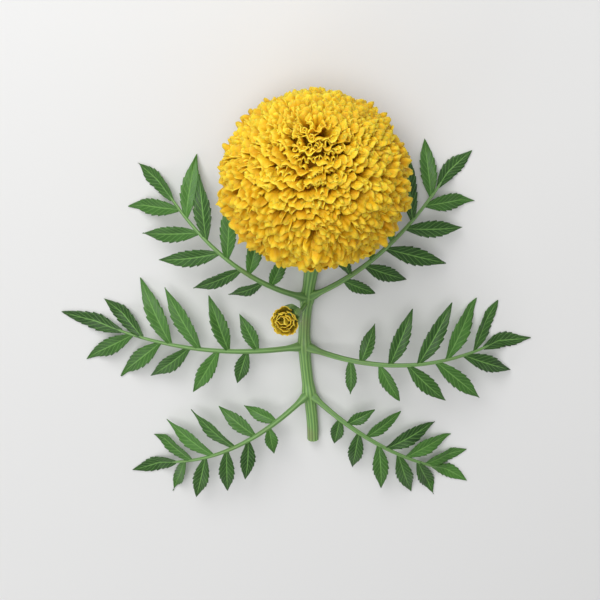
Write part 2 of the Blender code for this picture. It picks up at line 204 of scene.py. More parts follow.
def variants(name, count, make, **shape):
    """A collection of variants of one thing, for a tree to pick from."""
    draw = random.Random(name)
    kept = bpy.data.collections.new(name)
    for k in range(count):
        kept.objects.link(make(f"{name}_{k}", draw, **shape))
    return kept


def thicken(piece, thickness, back_finish=None):
    """Gives a sheet its thickness, half to each side, and its back another finish where one is named."""
    wall = piece.modifiers.new("Thickness", "SOLIDIFY")
    wall.thickness = thickness
    wall.offset = 0
    if back_finish:
        piece.data.materials.append(back_finish)
        wall.material_offset = 1
    return piece


def belongs(piece, slot, *nodes):
    """Sets a finished piece on the body root and hides the solids that it stands for; its slot is not used.
    """
    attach(piece, "root")
    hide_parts(*nodes)
    return piece


print("the frame has the nodes", ", ".join(sorted(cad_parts)))

# %% [markdown]
# ## The bloom's shape
#
# The bloom is a ball that is a little flat at its back. Its widest ring is a circle, its crown is a dome over
# it and its back a shallower bowl under it. It faces the front and looks up a little, and its centre is
# worked out from the solid's box.

# %% The bloom's frame
BLOOM_RADIUS = 38 * MM
BLOOM_CROWN = 34 * MM
BLOOM_BACK = 25 * MM
BLOOM_TILT = math.radians(30)  # how far it looks above the horizon
OUTERMOST = math.radians(113)  # from the bloom's axis to the last petals of the dome
CENTRE_TO_FRONT = 36.6 * MM  # from the bloom's middle to its foremost petal
CENTRE_TO_FLOOR = 34.2 * MM  # and down to where it rests

bloom_low, bloom_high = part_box("bloom")
bloom_middle = (bloom_low + bloom_high) / 2
bloom_centre = Vector((bloom_middle.x, bloom_low.y + CENTRE_TO_FRONT, bloom_low.z + CENTRE_TO_FLOOR))
bloom_turn = Matrix.Rotation(math.pi / 2 - BLOOM_TILT, 4, "X")
bloom_frame = Matrix.Translation(bloom_centre) @ bloom_turn
print("the bloom's centre is", [round(c / MM, 1) for c in bloom_centre], "mm from the origin")

# %% [markdown]
# ## The finish of the petals
#
# A marigold's ray petal is soft living tissue: matt, a little waxy, and thin enough for light to soak
# through, so that the gaps between petals glow a deeper orange and are never grey. The colour is deepest at
# the petal's foot, as a real petal's is, and darkened there further as painted shade of the crevices. It is
# lightest at its rim: a paler margin with a painted highlight where the lips catch the light. No two petals
# have quite the same tint, and fine ribs run from foot to rim.

# %% Petal material
RIBS_ACROSS = 14  # about 0.7 mm apart on a 10 mm petal: twice as coarse as life, so that they show


def petal_finish(name, foot, limb, rim, glow):
    """Marigold petal: matt, slightly see-through tissue, deeper at its foot with painted shade, paler at its
    lip with a painted highlight, and fine ribs along it.
    """
    made, tree, shader = new_finish(name, {
        "Roughness": 0.55,
        "Specular IOR Level": 0.2,
        "Subsurface Weight": glow,
        "Subsurface Radius": (1.0, 0.7, 0.12),  # red and green light go deep, blue hardly at all
        "Subsurface Scale": 1.1 * MM,
    })
    across, along, _ = add(tree, SEPARATE, [add(tree, "ShaderNodeUVMap", uv_map="UVMap")]).outputs
    spots = add(tree, "ShaderNodeTexCoord").outputs["Object"]
    tint = add(tree, "ShaderNodeAttribute", attribute_name="tint").outputs["Fac"]

    # Painted shade and highlight: the ramp runs from the foot's own deeper colour, darkened further as
    # painted shade of the crevices, to a pale rim that is partly a paler margin and partly a painted
    # highlight on the lips.
    foot_colour_with_shade_and_lip_highlight = add(tree, "ShaderNodeValToRGB", [along])
    ramp = foot_colour_with_shade_and_lip_highlight.color_ramp
    ramp.elements[0].position, ramp.elements[0].color = 0.45, linear(foot)
    ramp.elements[1].position, ramp.elements[1].color = 1.0, linear(rim)
    ramp.elements.new(0.88).color = linear(limb)
    deeper = add(tree, MIX, [0.8, foot_colour_with_shade_and_lip_highlight, linear("#D2BE78")], data_type="RGBA", blend_type="MULTIPLY")
    own = add(tree, MAP_RANGE, {"Value": tint, "To Max": 0.8})  # a petal's own share of the deeper tone
    tinted = add(tree, MIX, [own, foot_colour_with_shade_and_lip_highlight, deeper], data_type="RGBA")
    clouds = add(tree, NOISE, {"Vector": spots, "Scale": 1 / (4 * MM), "Detail": 2.0})
    cloudy = add(tree, MAP_RANGE, {"Value": clouds, "From Min": 0.35, "From Max": 0.7, "To Max": 0.35})
    mottled = add(tree, MIX, [cloudy, tinted, deeper], data_type="RGBA")
    tree.links.new(mottled.outputs["Result"], shader.inputs["Base Color"])

    turns = add(tree, MATH, [across, RIBS_ACROSS * math.tau], operation="MULTIPLY")
    ribs = add(tree, MATH, [turns], operation="SINE")
    crumple = add(tree, NOISE, {"Vector": spots, "Scale": 1 / (1.5 * MM), "Detail": 3.0})
    relief = add(tree, MATH, [ribs, 0.25, crumple], operation="MULTIPLY_ADD")
    bump = add(tree, "ShaderNodeBump", {"Strength": 0.5, "Distance": 0.15 * MM, "Height": relief})
    tree.links.new(bump.outputs["Normal"], shader.inputs["Normal"])
    return made


petal_outer = petal_finish("marigold petal, outer", foot="#C48A0A", limb="#E4B418", rim="#FADC46", glow=0.35)
# Painted light: the inner finish is lighter than the outer one, to lift the shade that falls in the crowded
# heart.
petal_inner_painted_lighter = petal_finish("marigold petal, inner", foot="#E0A618", limb="#F4C62A", rim="#FEE04C", glow=0.6)
# Painted shade: the core's darker yellow is partly the petals' deeper feet and partly the shade of the deep
# gaps through which it shows.
petal_shade = petal_finish("marigold petal feet", foot="#C8900C", limb="#CA940E", rim="#CC9810", glow=0.0)
bud_yellow = petal_finish("marigold bud petal", foot="#B4A638", limb="#D6BC34", rim="#EBD052", glow=0.4)
print("petal materials:", petal_outer.name, petal_inner_painted_lighter.name, petal_shade.name, bud_yellow.name, sep="; ")

# %% [markdown]
# ## One petal
#
# A petal is a fan on a narrow foot. Its lip grows longer than its width has room for, so it ruffles, and it
# folds over outwards, which is what makes the ball look so full: the eye sees lips, not edges. Each petal is
# modelled as a bent sheet: a middle line that curls, a half width that grows along it, and waves near the
# lip. A wave that only goes in and out has sharp crests. One that also sways sideways, at twice the beat, has
# the round folds of something soft.

# %% Petal variants


def curled(share, curl, hook):
    """How far along and how far out a curling middle line has come at a share of its length."""
    steps = 12
    bends = [curl * (share * (k + 0.5) / steps) ** hook for k in range(steps)]
    return sum(math.cos(b) for b in bends) * share / steps, sum(math.sin(b) for b in bends) * share / steps


def petal(name, draw, length, width, fold, ruffle, edge, lobes, curl, hook, rows, columns):
    """A petal as a sheet: its foot at the origin, growing along +Z and curling towards +X.

    The higher edge is, the nearer to the lip the ruffle stays, and the higher hook is, the nearer the curl.
    """
    beat = lobes * draw.uniform(0.85, 1.15) * math.pi
    phases = [draw.uniform(0, math.tau) for _ in range(4)]
    skew = draw.uniform(-0.08, 0.08)
    points, marks = [], []
    for i in range(rows + 1):
        u = i / rows
        # It widens from a fifth of its width at its foot, and draws in a little at its lip.
        half = width / 2 * (0.2 + 0.8 * (u * u * (3 - 2 * u)) ** 0.75) * (1 - 0.12 * u**8)
        row = []
        for j in range(columns + 1):
            v = 2 * j / columns - 1
            # Its lip is rounded at the corners, has shallow notches and runs a little askew.
            notch = 0.03 * math.cos(beat * v + phases[0]) + 0.012 * math.cos(2.7 * beat * v + phases[1])
            reach = u * (1 - 0.06 * v * v - 0.12 * v**8 + notch * u * u + skew * v * u)
            ahead, outward = curled(reach, curl, hook)
            bend = curl * reach**hook
            turn = beat * v + phases[2]
            frill = ruffle * u**edge
            wave = math.sin(turn) + 0.25 * math.sin(2.3 * beat * v + phases[3]) * u
            inward = frill * wave * (0.9 - 0.2 * v**4)
            inward += fold * half * abs(v) ** 1.6 * (1 - 0.7 * u)
            sway = -0.2 * frill * math.sin(2 * turn)
            row.append((
                outward * length - inward * math.cos(bend),
                v * half + sway,
                ahead * length + inward * math.sin(bend),
            ))
        points.append(row)
        marks.append([(j / columns, u) for j in range(columns + 1)])
    return sheet_object(name, points, marks)


rim_petals = variants("rim_petal", 8, petal, length=16 * MM, width=14.5 * MM, fold=0.02, ruffle=1.9 * MM,
                      edge=4, lobes=2.0, curl=math.radians(54), hook=2.4, rows=11, columns=24)
shoulder_petals = variants("shoulder_petal", 8, petal, length=14.5 * MM, width=10.5 * MM, fold=0.10,
                           ruffle=1.6 * MM, edge=3, lobes=2.3, curl=math.radians(60), hook=2.6, rows=10,
                           columns=22)
heart_petals = variants("heart_petal", 8, petal, length=12 * MM, width=7 * MM, fold=0.2, ruffle=1.5 * MM,
                        edge=2.4, lobes=2.3, curl=math.radians(60), hook=3, rows=10, columns=16)
inner_petals = variants("inner_petal", 6, petal, length=9.5 * MM, width=8 * MM, fold=0.1, ruffle=1.1 * MM,
                        edge=2.4, lobes=1.5, curl=math.radians(70), hook=2, rows=6, columns=10)

# %% [markdown]
# ## The rule that places them
#
# Each new petal of a marigold grows a golden angle round from the last, about 137.5 degrees, and that alone
# packs a dome evenly. A tree can do the same with one point for each petal: its number gives its turn round
# the axis and how far down the dome it sits. Turned about Y by the second and then about Z by the first, a
# petal that grew along +Z stands out of the dome there, and a little more turn about Y leans it outwards.

# %% Petal dome tree
BLOOM_INPUTS = {
    "Petals": ("Collection", None),
    "Count": ("Int", 100),
    "Unevenness": ("Float", 0.2),
    "Centre": ("Vector", None),
    "Turn": ("Rotation", None),
    "Surface": ("Float", 0.3 * MM),
    "Seed": ("Int", 0),
    "Finish": ("Material", None),
}


def plant_petals(tree, given, roots, upright):
    """Ends a tree: sets a petal on each root, tints and seats it, and presses what is low on the surface."""
    seeds = [add(tree, MATH, [given["Seed"], 10 + k], operation="ADD") for k in range(6)]
    twist = add(tree, CHANCE, {"Min": -2.2, "Max": 2.2, "Seed": seeds[0]}, data_type="FLOAT")
    roll = add(tree, CHANCE, {"Min": -1.0, "Max": 1.0, "Seed": seeds[1]}, data_type="FLOAT")
    stray = add(tree, COMBINE, [roll, 0.0, twist])
    by = add(tree, VECTOR_MATH, [stray, given["Unevenness"]], operation="SCALE")
    own_turn = add(tree, EULER_TURN, [by])
    turned = add(tree, "FunctionNodeRotateRotation", [upright, own_turn], rotation_space="LOCAL")
    wide = add(tree, CHANCE, {"Min": 0.88, "Max": 1.12, "Seed": seeds[2]}, data_type="FLOAT")
    long = add(tree, CHANCE, {"Min": 0.93, "Max": 1.03, "Seed": seeds[3]}, data_type="FLOAT")
    size = add(tree, COMBINE, [1.0, wide, long])

    points = add(tree, "GeometryNodeMeshLine", {"Count": given["Count"], "Offset": (0, 0, 0)})
    placed = add(tree, MOVE, {"Geometry": points, "Position": roots})
    kinds = add(tree, "GeometryNodeCollectionInfo", [given["Petals"], True, True])
    pick = add(tree, CHANCE, {"Min": 0, "Max": 99, "Seed": seeds[4]}, data_type="INT")
    petals = add(tree, "GeometryNodeInstanceOnPoints", {
        "Points": placed, "Instance": kinds, "Pick Instance": True, "Instance Index": pick,
        "Rotation": turned, "Scale": size,
    })
    tint = add(tree, CHANCE, {"Seed": seeds[5]}, data_type="FLOAT")
    tinted = add(tree, STORE, {"Geometry": petals, "Name": "tint", "Value": tint}, data_type="FLOAT",
                 domain="INSTANCE")
    loose = add(tree, "GeometryNodeRealizeInstances", [tinted])
    seated = add(tree, "GeometryNodeTransform",
                 {"Geometry": loose, "Translation": given["Centre"], "Rotation": given["Turn"]})
    x, y, z = add(tree, SEPARATE, [add(tree, "GeometryNodeInputPosition")]).outputs
    lifted = add(tree, MATH, [z, given["Surface"], 0.8 * MM], operation="SMOOTH_MAX")
    rested = add(tree, MOVE, {"Geometry": seated, "Position": add(tree, COMBINE, [x, y, lifted])})
    smooth = add(tree, "GeometryNodeSetShadeSmooth", [rested])
    finished = add(tree, "GeometryNodeSetMaterial", {"Geometry": smooth, "Material": given["Finish"]})
    add(tree, "NodeGroupOutput", [finished])
    return tree


def petal_dome():
    """The tree that sets petals over a dome by the golden angle."""
    tree, given = new_recipe("petal dome", {
        **BLOOM_INPUTS,
        "First": ("Int", 0),
        "Total": ("Int", 400),
        "Radius": ("Float", BLOOM_RADIUS),
        "Crown": ("Float", BLOOM_CROWN),
        "Back": ("Float", BLOOM_BACK),
        "Reach": ("Float", 1 - math.cos(OUTERMOST)),
        "Crowding": ("Float", 1.22),
        "Root": ("Float", 0.67),
        "Lean at crown": ("Float", 0.0),
        "Lean at rim": ("Float", 0.38),
    })
    seeds = [add(tree, MATH, [given["Seed"], k], operation="ADD") for k in range(2)]
    number = add(tree, MATH, [add(tree, "GeometryNodeInputIndex"), given["First"]], operation="ADD")
    counted = add(tree, MATH, [number, 0.5], operation="ADD")
    place = add(tree, MATH, [counted, given["Total"]], operation="DIVIDE")
    crowded = add(tree, MATH, [place, given["Crowding"]], operation="POWER")
    drop = add(tree, MATH, [crowded, given["Reach"]], operation="MULTIPLY")
    rise = add(tree, MATH, [1.0, drop], operation="SUBTRACT")
    polar = add(tree, MATH, [rise], operation="ARCCOSINE")
    stray = add(tree, CHANCE, {"Min": -0.08, "Max": 0.08, "Seed": seeds[0]}, data_type="FLOAT")
    azimuth = add(tree, MATH, [number, GOLDEN_ANGLE, stray], operation="MULTIPLY_ADD")

    on_ball = add(tree, EULER_TURN, [add(tree, COMBINE, [0.0, polar, azimuth])])
    ray = add(tree, "FunctionNodeRotateVector", [(0, 0, 1), on_ball])
    above = add(tree, MATH, [rise, 0.0], operation="GREATER_THAN")
    depth = add(tree, MIX, [above, given["Back"], given["Crown"]], data_type="FLOAT")
    stretch = add(tree, COMBINE, [given["Radius"], given["Radius"], depth])
    on_dome = add(tree, VECTOR_MATH, [ray, stretch], operation="MULTIPLY")
    roots = add(tree, VECTOR_MATH, [on_dome, given["Root"]], operation="SCALE")

    run = add(tree, MATH, [add(tree, MATH, [polar], operation="SINE"), depth], operation="MULTIPLY")
    fall = add(tree, MATH, [rise, given["Radius"]], operation="MULTIPLY")
    square_to_dome = add(tree, MATH, [run, fall], operation="ARCTAN2")
    lean = add(tree, MAP_RANGE,
               {"Value": place, "To Min": given["Lean at crown"], "To Max": given["Lean at rim"]})
    wobble = add(tree, CHANCE, {"Min": -1.0, "Max": 1.0, "Seed": seeds[1]}, data_type="FLOAT")
    leaning = add(tree, MATH, [wobble, given["Unevenness"], lean], operation="MULTIPLY_ADD")
    angle = add(tree, MATH, [square_to_dome, leaning], operation="ADD")
    upright = add(tree, EULER_TURN, [add(tree, COMBINE, [0.0, angle, azimuth])])
    return plant_petals(tree, given, roots, upright)


dome_tree = petal_dome()
print("petal dome tree:", len(dome_tree.nodes), "nodes")

# %% [markdown]
# ## The bloom
#
# The same tree runs four times: once for small inner petals that fill every gap, and then for those of the
# heart, the shoulder and the rim, each whorl going on where the last one stopped. Behind them sits a dense
# core, so that no gap looks through the ball. Its darker yellow is partly the petals' feet's own colour and
# partly painted shade of the deep gaps. It is a turned solid: rings of points round an axis, closed at both
# ends.

# %% Core


def turned_solid(name, profile, sides, frame_matrix, shaped=None):
    """A closed turned solid from (radius, height) pairs, top to bottom, set in a frame."""
    points, faces = [], []
    for level, (radius, height) in enumerate(profile):
        for k in range(sides):
            angle = math.tau * k / sides
            r, z = shaped(level, angle, radius, height) if shaped else (radius, height)
            points.append(frame_matrix @ Vector((r * math.cos(angle), r * math.sin(angle), z)))
    for level in range(len(profile) - 1):
        for k in range(sides):
            a, b = level * sides + k, level * sides + (k + 1) % sides
            faces.append((b, a, a + sides, b + sides))
    faces.append(tuple(range(sides)))
    faces.append(tuple(reversed(range((len(profile) - 1) * sides, len(profile) * sides))))
    mesh = bpy.data.meshes.new(name)
    mesh.from_pydata(points, [], faces)
    mesh.shade_smooth()
    return in_scene(name, mesh)


CORE_SHARE = 0.76  # of the bloom's radius
CORE_RINGS = 12
CORE_END = math.pi * 0.93  # its last ring, from the bloom's axis

core_profile = []
for ring in range(1, CORE_RINGS + 1):
    polar = CORE_END * ring / CORE_RINGS
    crown = BLOOM_CROWN if polar < math.pi / 2 else BLOOM_BACK
    core_profile.append((BLOOM_RADIUS * math.sin(polar) * CORE_SHARE, crown * math.cos(polar) * CORE_SHARE))
core = turned_solid("petals_core", core_profile, 40, bloom_frame)
core.data.materials.append(petal_shade)
belongs(core, "petal", "bloom")
print("core faces:", len(core.data.polygons))

# %% Grow the petals
PETAL_THICKNESS = 0.25 * MM
INNER_PETALS = 420
WHORLS = {  # from the crown out: the petals, how many, how far each strays and their finish
    "heart": (heart_petals, 190, 0.20, petal_inner_painted_lighter),
    "shoulder": (shoulder_petals, 160, 0.32, petal_outer),
    "rim": (rim_petals, 125, 0.32, petal_outer),
}

inner = grow("petals_inner", dome_tree, petals=inner_petals, count=INNER_PETALS, total=INNER_PETALS,
             root=0.78, centre=bloom_centre, turn=bloom_turn.to_euler(), seed=1200, finish=petal_inner_painted_lighter)
belongs(thicken(inner, PETAL_THICKNESS), "petal", "bloom")

first = 0
total = sum(count for _, count, _, _ in WHORLS.values())
for kind, (kinds, count, stray, finish) in WHORLS.items():
    whorl = grow("petals_" + kind, dome_tree, petals=kinds, first=first, count=count, total=total,
                 unevenness=stray, centre=bloom_centre, turn=bloom_turn.to_euler(), seed=first, finish=finish)
    belongs(thicken(whorl, PETAL_THICKNESS), "petal", "bloom")
    first += count

# %% [markdown]
# ## The back of the bloom
#
# From behind, the lowest petals run out from the cup to the bloom's edge like spokes, and turn up towards the
# front. A second tree sets them in rings: the number of a petal gives its turn, and one angle opens them all.

# %% Petal ring tree


def petal_ring():
    """The tree that sets petals in a ring."""
    tree, given = new_recipe("petal ring", {
        **BLOOM_INPUTS,
        "Root radius": ("Float", 8.6 * MM),
        "Root height": ("Float", -17.8 * MM),
        "Opening": ("Float", math.radians(95)),
        "Phase": ("Float", 0.0),
    })
    seed = add(tree, MATH, [given["Seed"], 1], operation="ADD")
    index = add(tree, "GeometryNodeInputIndex")
    step = add(tree, MATH, [math.tau, given["Count"]], operation="DIVIDE")
    shifted = add(tree, MATH, [index, given["Phase"]], operation="ADD")
    even = add(tree, MATH, [shifted, step], operation="MULTIPLY")
    stray = add(tree, CHANCE, {"Min": -0.4, "Max": 0.4, "Seed": given["Seed"]}, data_type="FLOAT")
    azimuth = add(tree, MATH, [stray, given["Unevenness"], even], operation="MULTIPLY_ADD")
    wobble = add(tree, CHANCE, {"Min": -0.5, "Max": 0.5, "Seed": seed}, data_type="FLOAT")
    opened = add(tree, MATH, [wobble, given["Unevenness"], given["Opening"]], operation="MULTIPLY_ADD")
    upright = add(tree, EULER_TURN, [add(tree, COMBINE, [0.0, opened, azimuth])])
    foot = add(tree, COMBINE, [given["Root radius"], 0.0, given["Root height"]])
    around = add(tree, EULER_TURN, [add(tree, COMBINE, [0.0, 0.0, azimuth])])
    roots = add(tree, "FunctionNodeRotateVector", [foot, around])
    return plant_petals(tree, given, roots, upright)


ring_tree = petal_ring()
print("petal ring tree:", len(ring_tree.nodes), "nodes")

# %% Grow the back petals
BACK_RINGS = ((22, -17.2 * MM, 90), (22, -18.6 * MM, 96))  # petals, the height of their roots, their opening
back_petals = variants("back_petal", 6, petal, length=30 * MM, width=12.5 * MM, fold=0.04, ruffle=1.0 * MM,
                       edge=2.4, lobes=1.5, curl=math.radians(-52), hook=1.4, rows=14, columns=12)
for row, (count, height, opening) in enumerate(BACK_RINGS):
    ring = grow(f"petals_back_{row + 1}", ring_tree, petals=back_petals, count=count, unevenness=0.1,
                root_height=height, opening=math.radians(opening), phase=0.5 * row, centre=bloom_centre,
                turn=bloom_turn.to_euler(), seed=900 + row, finish=petal_outer)
    belongs(thicken(ring, PETAL_THICKNESS), "petal", "bloom")

# %% [markdown]
# ## Green skin
#
# The cup, the stem and the leaves' ribs are covered by one kind of skin: smooth, fleshy and a little glossy,
# paler on its ridges than in its grooves, and streaked lengthwise where its veins run. Every such piece
# carries three marks: "around", "along" and "ridge". The skin draws its streaks from the first two and its
# pale ridges from the third.

# %% Green skin
STREAKS_AROUND = 34  # round one turn
STREAK_LENGTH = 9 * MM


def green_skin(name, groove, ridge, flush, gloss, speckle):
    """Marigold stem or cup skin: fleshy, slightly glossy, streaked along its growth, with oil glands."""
    made, tree, shader = new_finish(name, {
        "Roughness": gloss,
        "Specular IOR Level": 0.45,
        "Subsurface Weight": 0.12,
        "Subsurface Radius": (0.5, 1.0, 0.25),
        "Subsurface Scale": 1.0 * MM,
    })
    around = add(tree, "ShaderNodeAttribute", attribute_name="around").outputs["Fac"]
    along = add(tree, "ShaderNodeAttribute", attribute_name="along").outputs["Fac"]
    height = add(tree, "ShaderNodeAttribute", attribute_name="ridge").outputs["Fac"]
    spots = add(tree, "ShaderNodeTexCoord").outputs["Object"]

    turn = add(tree, MATH, [around, math.tau], operation="MULTIPLY")
    x = add(tree, MATH, [add(tree, MATH, [turn], operation="COSINE"), STREAKS_AROUND / math.tau],
            operation="MULTIPLY")
    y = add(tree, MATH, [add(tree, MATH, [turn], operation="SINE"), STREAKS_AROUND / math.tau],
            operation="MULTIPLY")
    z = add(tree, MATH, [along, 1 / STREAK_LENGTH], operation="MULTIPLY")
    wrapped = add(tree, COMBINE, [x, y, z])
    streaks = add(tree, NOISE, {"Vector": wrapped, "Scale": 1.0, "Detail": 4.0, "Roughness": 0.6})
    clouds = add(tree, NOISE, {"Vector": spots, "Scale": 1 / (14 * MM), "Detail": 2.0})
    raised = add(tree, MATH, [streaks, 0.9, height], operation="MULTIPLY_ADD")
    share = add(tree, MAP_RANGE, {"Value": raised, "From Min": 0.25, "From Max": 1.35})
    body = add(tree, MIX, [share, linear(groove), linear(ridge)], data_type="RGBA")
    flushed = add(tree, MAP_RANGE, {"Value": clouds, "From Min": 0.5, "From Max": 0.8, "To Max": 0.5})
    tinged = add(tree, MIX, [flushed, body, linear(flush)], data_type="RGBA")
    glands = add(tree, "ShaderNodeTexVoronoi", {"Vector": wrapped, "Scale": 1.6})
    dot = add(tree, MAP_RANGE, {"Value": glands, "From Min": 0.10, "From Max": 0.24, "To Min": speckle,
                                "To Max": 0.0})
    dotted = add(tree, MIX, [dot, tinged, linear("#3E4A1C")], data_type="RGBA")
    tree.links.new(dotted.outputs["Result"], shader.inputs["Base Color"])

    bump = add(tree, "ShaderNodeBump", {"Strength": 0.6, "Distance": 0.25 * MM, "Height": streaks})
    tree.links.new(bump.outputs["Normal"], shader.inputs["Normal"])
    return made


stem_skin = green_skin("marigold stem skin", groove="#45703A", ridge="#84AC60", flush="#86705A", gloss=0.40,
                       speckle=0.0)
cup_skin = green_skin("marigold cup skin", groove="#3F6A34", ridge="#7FA458", flush="#8C8A52", gloss=0.38,
                      speckle=0.7)
print("skins:", stem_skin.name, "and", cup_skin.name)

# %% [markdown]
# ## The cup
#
# The green bracts under a marigold are grown together into one cup with a rib down each and a tooth at its
# rim. A turned solid gives the bell, outside and inside, and a wave in its radius and in its rim gives ribs
# and teeth, so that both come out of the same count.

# %% Cup
CUP_RIM = -20.6 * MM  # the tips of its teeth
CUP_END = -41 * MM
CUP_RIBS = 9
TOOTH = 3.4 * MM


def marked(piece, sides, levels, ridges):
    """Marks a turned solid with its places around and along, and how high on a rib each point is."""
    points = range(len(piece.data.vertices))
    around = [(k % sides) / sides for k in points]
    mark(piece.data, "around", around)
    mark(piece.data, "along", [levels[k // sides] for k in points])
    mark(piece.data, "ridge", [0.5 + 0.5 * math.cos(ridges * math.tau * share) for share in around])
    return piece


def bell(share):
    """The cup's outer radius at a share of its height, from its stem end to its rim."""
    full = (4.9, 6.2, 8.4, 9.7, 10.3, 10.4, 10.2, 9.8, 9.5)  # in mm, at even steps
    place = share * (len(full) - 1)
    k = min(int(place), len(full) - 2)
    return (full[k] + (full[k + 1] - full[k]) * (place - k)) * MM


def cup_wall(name, frame_matrix, size, ribs, teeth, end, rim, radius_of, wall, sides):
    """A ribbed bell with a toothed rim, whose profile goes up the inside wall and down the outside."""
    tall = rim - end
    outer = [(radius_of(k / 16), end + tall * k / 16) for k in range(17)]
    depths = [0.3 * k / 3 for k in range(4)]  # how far down from the rim each ring of the inside is
    inner = [(max(radius_of(1 - depth) - wall, wall), rim - tall * depth) for depth in depths]
    closed = [(inner[-1][0] * 0.3, inner[-1][1])]
    profile = closed + inner[::-1] + outer[::-1]
    rim_levels = range(1, len(closed + inner) + 6)

    def shaped(level, angle, radius, height):
        rib = 0.5 + 0.5 * math.cos(ribs * angle)
        outside = level > len(inner)
        if outside:
            share = (height - end) / tall
            radius += size * 0.055 * rib**2 * math.sin(math.pi * min(share * 1.15 + 0.08, 1))
        if level in rim_levels:
            near = max(0.0, (height - (rim - 2.4 * teeth)) / (2.4 * teeth))
            height -= teeth * (1 - abs(1 - 2 * ((ribs * angle / math.tau) % 1)) ** 0.8) * near
            radius += 0.02 * size * near
        return radius, height

    piece = turned_solid(name, profile, sides, frame_matrix, shaped)
    return marked(piece, sides, [height for _, height in profile], ribs)


cup = cup_wall("cup_bell", bloom_frame, size=10.4 * MM, ribs=CUP_RIBS, teeth=TOOTH, end=CUP_END, rim=CUP_RIM,
               radius_of=bell, wall=1.2 * MM, sides=CUP_RIBS * 12)
cup.data.materials.append(cup_skin)
belongs(cup, "cup", "cup")
print("cup faces:", len(cup.data.polygons))

# %% [markdown]
# ## The stem's path
#
# The stem leaves the cup along the bloom's axis, turns down in an even bend until it lies on the surface, and
# runs on with a slight sway. It is thickest under the cup and swells a little where a pair of leaves grows.
# One function gives the middle at any distance along it, and the leaves and the bud start from it too.

# %% Stem path
STEM_LENGTH = 106 * MM
STEM_RADIUS = 2.7 * MM
STEM_SWAY = math.radians(7)
LEAF_NODES = (33 * MM, 57 * MM, 81 * MM)  # where the pairs of leaves leave it
GAP = 0.3 * MM
stem_start = bloom_frame @ Vector((0, 0, CUP_END - GAP))


def stem_centre(distance):
    """The stem's middle at a distance from the cup."""
    bend = (stem_start.z - STEM_RADIUS) / (1 - math.cos(BLOOM_TILT))
    turned = min(distance / bend, BLOOM_TILT)
    straight = max(0, distance - bend * BLOOM_TILT)
    run = bend * (math.sin(BLOOM_TILT) - math.sin(BLOOM_TILT - turned)) + straight
    drop = bend * (math.cos(BLOOM_TILT - turned) - math.cos(BLOOM_TILT))
    sway = STEM_SWAY * STEM_LENGTH / math.tau * (1 - math.cos(math.tau * distance / STEM_LENGTH))
    middle = stem_start + Vector((sway, run, -drop))
    middle.z = max(middle.z, stem_radius(distance))
    return middle


def stem_radius(distance):
    """The stem's radius at a distance from the cup."""
    swelling = sum(math.exp(-(((distance - node) / (3 * MM)) ** 2)) for node in LEAF_NODES)
    return STEM_RADIUS + 2.0 * MM * math.exp(-((distance / (17 * MM)) ** 2)) + 0.7 * MM * swelling


print("the stem ends at", [round(c / MM, 1) for c in stem_centre(STEM_LENGTH)], "mm")

# %% [markdown]
# ## Ribbed stalks
#
# Stem, bud stalk and leaf ribs are all stalks: a ribbed ring swept along a path, thick here and thin there.
# The tree takes the path as an object whose points carry their radius, and leaves the marks that the green
# skin reads.

# %% Stalk tree


def path_object(name, points, radii):
    """A path as a chain of edges, with each point's radius and its distance along the path."""
    mesh = bpy.data.meshes.new(name)
    mesh.from_pydata(points, [(k, k + 1) for k in range(len(points) - 1)], [])
    lengths = [0.0]
    for before, after in zip(points, points[1:]):
        lengths.append(lengths[-1] + (after - before).length)
    mark(mesh, "thickness", radii)
    mark(mesh, "along", lengths)
    return bpy.data.objects.new(name, mesh)


def ribbed_stalk():
    """The tree that sweeps a ribbed ring along a path."""
    tree, given = new_recipe("ribbed stalk", {
        "Path": ("Object", None),
        "Sides": ("Int", 48),
        "Ribs": ("Int", 8),
        "Rib depth": ("Float", 0.12),
        "Finish": ("Material", None),
    })
    path = add(tree, "GeometryNodeObjectInfo", [given["Path"]]).outputs["Geometry"]
    line = add(tree, "GeometryNodeMeshToCurve", [path])
    circle = add(tree, "GeometryNodeCurvePrimitiveCircle", [given["Sides"], 1.0])
    index = add(tree, "GeometryNodeInputIndex")
    around = add(tree, MATH, [index, given["Sides"]], operation="DIVIDE")
    turn = add(tree, MATH, [around, given["Ribs"]], operation="MULTIPLY")
    wave = add(tree, MATH, [add(tree, MATH, [turn, math.tau], operation="MULTIPLY")], operation="COSINE")
    ridge = add(tree, MAP_RANGE, {"Value": wave, "From Min": -1.0})
    groove = add(tree, MATH, [1.0, given["Rib depth"]], operation="SUBTRACT")
    fluted = add(tree, MAP_RANGE, {"Value": ridge, "To Min": groove, "To Max": 1.0})
    place = add(tree, "GeometryNodeInputPosition")
    scaled = add(tree, VECTOR_MATH, [place, fluted], operation="SCALE")
    ring = add(tree, MOVE, {"Geometry": circle, "Position": scaled})
    marked_ring = add(tree, STORE, {"Geometry": ring, "Name": "around", "Value": around}, data_type="FLOAT")
    ridged_ring = add(tree, STORE, {"Geometry": marked_ring, "Name": "ridge", "Value": ridge},
                      data_type="FLOAT")
    radius = add(tree, "GeometryNodeInputNamedAttribute", ["thickness"], data_type="FLOAT")
    swept = add(tree, "GeometryNodeCurveToMesh",
                {"Curve": line, "Profile Curve": ridged_ring, "Scale": radius, "Fill Caps": True})
    smooth = add(tree, "GeometryNodeSetShadeSmooth", [swept])
    finished = add(tree, "GeometryNodeSetMaterial", {"Geometry": smooth, "Material": given["Finish"]})
    add(tree, "NodeGroupOutput", [finished])
    return tree


stalk_tree = ribbed_stalk()
print("ribbed stalk tree:", len(stalk_tree.nodes), "nodes")

